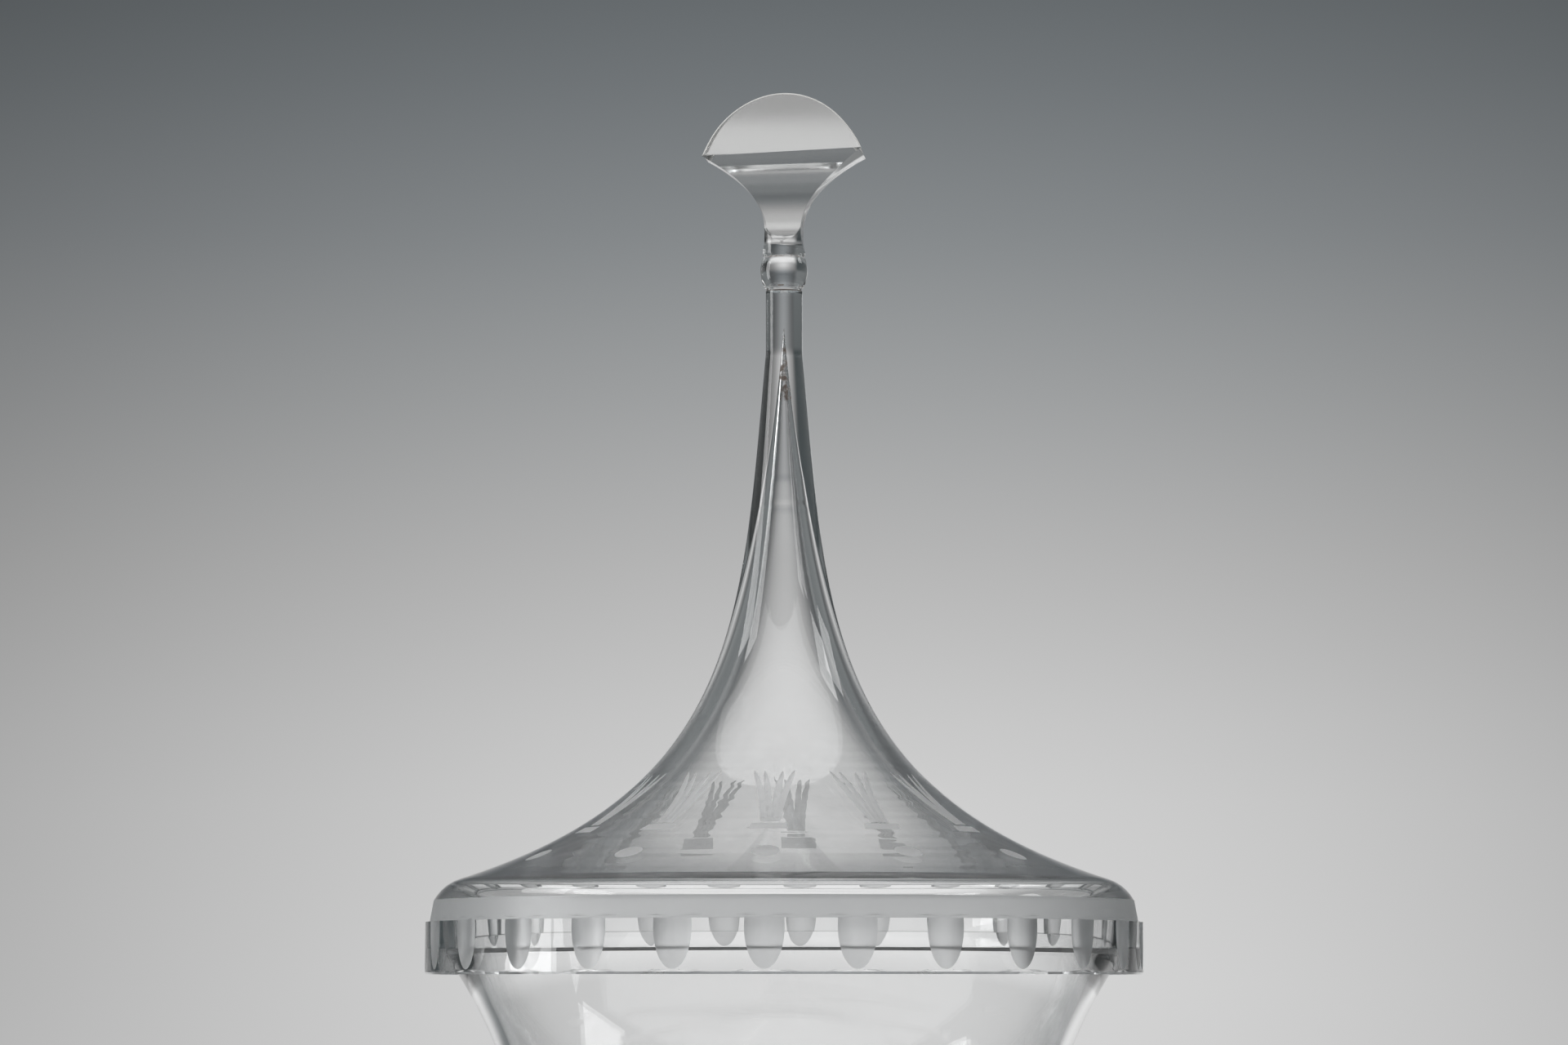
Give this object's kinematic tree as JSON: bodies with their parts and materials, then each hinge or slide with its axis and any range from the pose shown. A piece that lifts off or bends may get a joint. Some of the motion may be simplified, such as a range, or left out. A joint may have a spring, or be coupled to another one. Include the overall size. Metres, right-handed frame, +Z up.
{
  "type": "covered goblet",
  "caption": "Clear glass covered goblet: bell bowl on a knopped stem and round foot, with a tall hollow spire lid, olive-cut band and cut fan finial.",
  "frame": {"origin": "on the standing plane, under the middle of the foot", "axes": "+Z up along the axis of the goblet; the fan finial's broad faces look along -Y (front) and +Y"},
  "size_m": [0.13, 0.13, 0.3305],
  "materials": {
    "clear_glass": "clear, fire-polished, with matt olive cuts, matt bevel and matt engraving on the lid",
    "satin_glass": "satin-cut facets with polished narrow sides"
  },
  "bodies": {
    "goblet": {"foot": "clear_glass", "stem": "clear_glass", "stem_knop": "clear_glass", "bowl_merese": "clear_glass", "bowl": "clear_glass"},
    "lid": {"lid_cover": "clear_glass", "collar_bead": "clear_glass", "finial_fan": "satin_glass"}
  },
  "joints": [
    {"name": "lid_lift", "type": "slide", "parent": "goblet", "child": "lid", "axis": [0, 0, 1], "range_m": [0, 0.12]}
  ]
}
